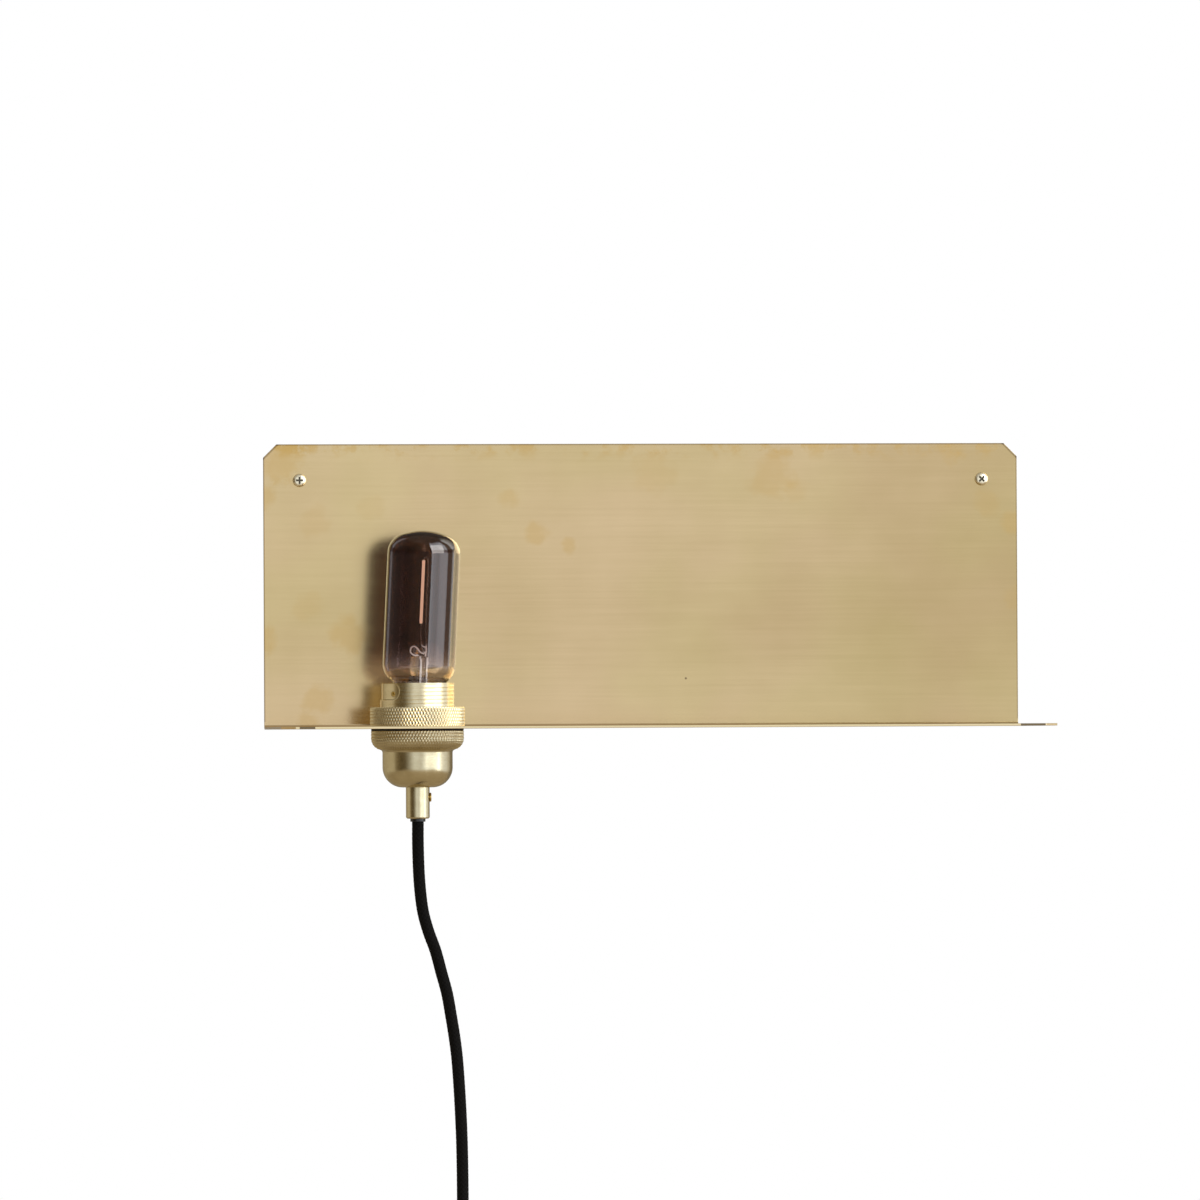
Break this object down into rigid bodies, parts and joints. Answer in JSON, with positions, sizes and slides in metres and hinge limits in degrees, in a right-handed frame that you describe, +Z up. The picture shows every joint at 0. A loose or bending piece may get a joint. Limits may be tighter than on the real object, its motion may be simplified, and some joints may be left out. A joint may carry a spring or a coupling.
{
  "type": "wall lamp with shelf",
  "caption": "Wall lamp with a shelf: a bent brass plate carries a knurled threaded lampholder, a tubular smoked bulb and a hanging fabric lead with inline switch and plug.",
  "frame": {"origin": "midway between the two wall screws, on the back plane of the plate", "axes": "+Z up, +Y into the wall, +X to the right for someone who faces the wall"},
  "size_m": [0.4, 0.1838, 0.6056],
  "materials": {
    "sheet_brass": "satin",
    "turned_brass": "satin",
    "screw_brass": "polished",
    "plain_brass": "satin",
    "small_steel": "satin",
    "nickel": "polished",
    "black_washer": "matte",
    "white_ceramic": "gloss",
    "smoked_glass": "gloss",
    "clear_glass": "gloss",
    "black_glass": "gloss",
    "filament_phosphor": "matte",
    "circuit_board": "satin",
    "copper_wire": "satin",
    "brown_core": "satin",
    "blue_core": "satin",
    "green_core": "satin",
    "black_nylon": "gloss",
    "cord_fabric": "matte",
    "black_plastic": "satin",
    "soft_black": "matte",
    "tie_fabric": "matte"
  },
  "bodies": {
    "root": {"shelf_plate": "sheet_brass", "wall_screws": "screw_brass", "upper_clamp_ring": "turned_brass", "shelf_washer": "black_washer", "holder_skirt": "turned_brass", "skirt_lock_screw": "plain_brass", "holder_cap": "turned_brass", "ceramic_core": "white_ceramic", "ceramic_liner": "white_ceramic", "screw_shell": "plain_brass", "shell_screws": "small_steel", "centre_contact": "copper_wire", "contact_rivet": "plain_brass", "live_terminal": "plain_brass", "neutral_terminal": "plain_brass", "terminal_screws": "small_steel", "hollow_nipple": "plain_brass", "nipple_nut": "plain_brass", "earth_tag": "small_steel", "cord_grip": "turned_brass", "grip_lock_screw": "plain_brass", "grip_insert": "black_nylon", "cord_end": "cord_fabric", "live_wire": "brown_core", "neutral_wire": "blue_core", "earth_wire": "green_core", "cord_drop": "cord_fabric", "switch_base": "black_plastic", "switch_cover": "black_plastic", "rocker_pin": "small_steel", "switch_contacts": "plain_brass", "switch_screws": "small_steel", "switch_cores": "brown_core", "cord_mid": "cord_fabric", "cord_coil": "cord_fabric", "coil_tie": "tie_fabric", "cord_tail": "cord_fabric", "plug_relief": "soft_black", "plug_body": "black_plastic", "plug_pins": "nickel", "plug_earth_clips": "nickel"},
    "bulb_lift": {"bulb_tip": "nickel"},
    "bulb": {"bulb_glass": "smoked_glass", "bulb_stem": "clear_glass", "filament_stick": "filament_phosphor", "filament_wires": "small_steel", "bulb_cap": "nickel", "bulb_insulator": "black_glass", "bulb_driver": "circuit_board"},
    "rocker": {"switch_rocker": "black_plastic"}
  },
  "joints": [
    {"name": "bulb_rise", "type": "slide", "parent": "root", "child": "bulb_lift", "axis": [0, 0, 1], "range_m": [0, 0.01816]},
    {"name": "bulb_turn", "type": "hinge", "parent": "bulb_lift", "child": "bulb", "pos_m": [-0.125, -0.075, -0.121], "axis": [0, 0, 1], "range_deg": [0, 1800]},
    {"name": "rocker_tip", "type": "hinge", "parent": "root", "child": "rocker", "pos_m": [-0.102, -0.074, -0.4242], "axis": [-1, 0, 0], "range_deg": [0, 20]}
  ],
  "couplings": [
    {"joint": "bulb_rise", "follows": "bulb_turn", "m_per_rad": 0.00057775}
  ]
}
